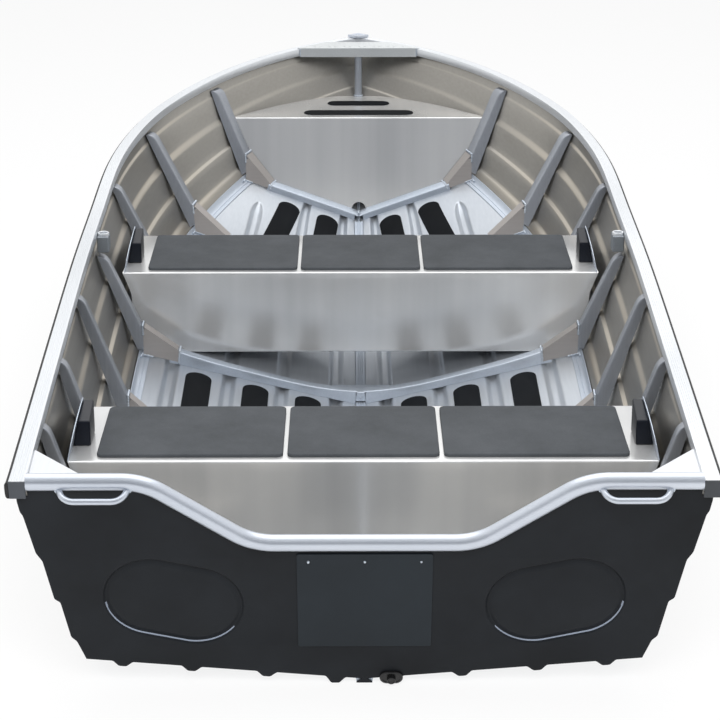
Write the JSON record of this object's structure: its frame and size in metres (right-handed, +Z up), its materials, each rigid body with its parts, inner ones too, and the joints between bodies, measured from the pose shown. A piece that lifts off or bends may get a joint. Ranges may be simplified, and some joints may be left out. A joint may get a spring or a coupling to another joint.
{
  "type": "rowing boat",
  "caption": "Open pressed-aluminium rowing dinghy with a veed hull, thwarts with foam pads, a raised bow seat and a raked transom with a motor notch.",
  "frame": {"origin": "centre of the footprint, on the plane the keel stands on", "axes": "+X to starboard, +Y to the bow, +Z up"},
  "size_m": [1.545, 3.6994, 0.7005],
  "materials": {
    "hull_sheet": "mill-finish pressed sheet, soft sheen",
    "frame_extrusion": "extruded bar, brushed",
    "seat_sheet": "brushed sheet",
    "tread_plate": "raised tread pattern",
    "bright_tube": "bright extruded tube",
    "transom_coating": "satin charcoal coating",
    "pad_coating": "satin charcoal coating",
    "end_cap_coating": "dark grey cast end",
    "rail_rubber": "black extruded rubber",
    "seat_foam": "dark grey closed-cell foam",
    "grip_foam": "black closed-cell foam",
    "bracket_plastic": "black moulded plastic",
    "plug_plastic": "black moulded plastic",
    "eye_steel": "stainless bar"
  },
  "bodies": {
    "root": {"bottom_starboard": "hull_sheet", "bottom_port": "hull_sheet", "side_starboard": "hull_sheet", "side_port": "hull_sheet", "chine_strip_starboard": "frame_extrusion", "chine_strip_port": "frame_extrusion", "gunwale_starboard": "bright_tube", "gunwale_port": "bright_tube", "rub_rail_starboard": "rail_rubber", "rub_rail_port": "rail_rubber", "gunwale_end_cap_starboard": "end_cap_coating", "gunwale_end_cap_port": "end_cap_coating", "corner_knee_starboard": "bright_tube", "corner_knee_port": "bright_tube", "handle_starboard": "bright_tube", "handle_port": "bright_tube", "rowlock_socket_starboard": "bright_tube", "rowlock_socket_port": "bright_tube", "keel": "frame_extrusion", "stem": "frame_extrusion", "transom_plate": "transom_coating", "transom_cap_tube": "bright_tube", "transom_pad_outer": "pad_coating", "transom_pad_inner": "pad_coating", "transom_knee": "frame_extrusion", "drain_plug": "plug_plastic", "frame_1": "frame_extrusion", "frame_2": "frame_extrusion", "frame_4": "frame_extrusion", "frame_5": "frame_extrusion", "frame_7": "frame_extrusion", "rib_pair_6": "frame_extrusion", "rib_pair_3": "frame_extrusion", "step_plate": "frame_extrusion", "thwart_aft": "seat_sheet", "seat_pads_aft": "seat_foam", "bracket_blocks_aft": "bracket_plastic", "bracket_plates_aft": "bright_tube", "thwart_forward": "seat_sheet", "seat_pads_forward": "seat_foam", "bracket_blocks_forward": "bracket_plastic", "bracket_plates_forward": "bright_tube", "bow_seat": "seat_sheet", "bow_seat_strips": "grip_foam", "breasthook": "tread_plate", "nose_cap": "bright_tube", "stem_post": "frame_extrusion", "bow_eye": "eye_steel", "floor_strips_forward": "grip_foam", "floor_strips_aft": "grip_foam"}
  },
  "joints": []
}
